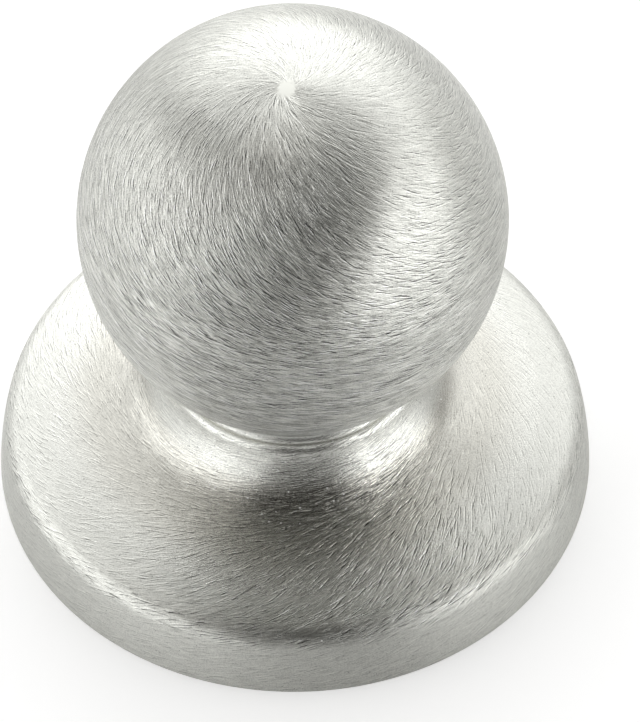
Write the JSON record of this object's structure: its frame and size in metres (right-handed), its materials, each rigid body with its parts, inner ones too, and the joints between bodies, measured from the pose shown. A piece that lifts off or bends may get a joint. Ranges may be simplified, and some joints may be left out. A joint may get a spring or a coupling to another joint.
{
  "type": "cupboard knob",
  "caption": "Round ball knob on a waisted neck that flares into a round base, with a tapped hole in its flat back for a screw through the door.",
  "frame": {"origin": "centre of the flat back, where the knob's axis meets the cupboard door", "axes": "+Z along the knob's axis, out of the door towards the ball; X and Y are alike"},
  "size_m": [0.035, 0.035, 0.0349],
  "materials": {
    "brushed_metal": "satin plated, brushed in fine short scratches"
  },
  "bodies": {
    "root": {"knob": "brushed_metal"}
  },
  "joints": []
}
